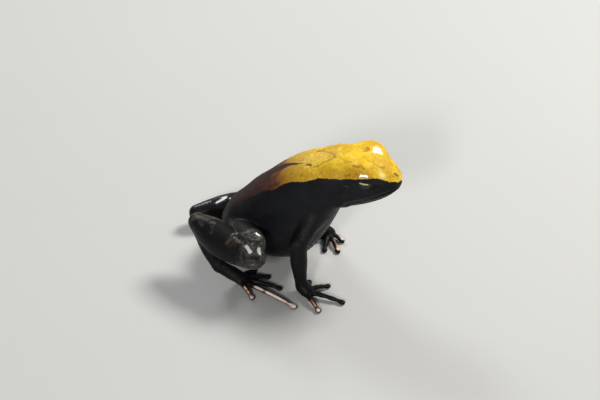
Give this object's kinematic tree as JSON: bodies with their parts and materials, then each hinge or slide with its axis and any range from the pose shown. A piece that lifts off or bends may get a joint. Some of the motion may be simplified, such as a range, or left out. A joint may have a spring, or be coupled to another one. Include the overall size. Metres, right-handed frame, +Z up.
{
  "type": "mantella frog",
  "caption": "Small mantella frog at life size, sitting upright on its hands and toes, yellow on the head and back and black on the flanks and face.",
  "frame": {"origin": "on the ground, under the middle of the frog's box", "axes": "+X the way the frog faces, +Y its left side, +Z up"},
  "size_m": [0.029, 0.0196, 0.0193],
  "materials": {
    "golden_back": "moist skin, golden yellow",
    "dark_limb": "moist skin, brown-black",
    "eye": "glossy, black with gold above the pupil"
  },
  "bodies": {
    "root": {"head": "golden_back", "torso": "golden_back", "eye_left": "eye", "eye_right": "eye", "upper_arm_left": "dark_limb", "upper_arm_right": "dark_limb", "forearm_left": "dark_limb", "forearm_right": "dark_limb", "hand_left": "dark_limb", "hand_right": "dark_limb", "thigh_left": "dark_limb", "thigh_right": "dark_limb", "shank_left": "dark_limb", "shank_right": "dark_limb", "tarsus_left": "dark_limb", "tarsus_right": "dark_limb", "foot_left": "dark_limb", "foot_right": "dark_limb"}
  },
  "joints": []
}
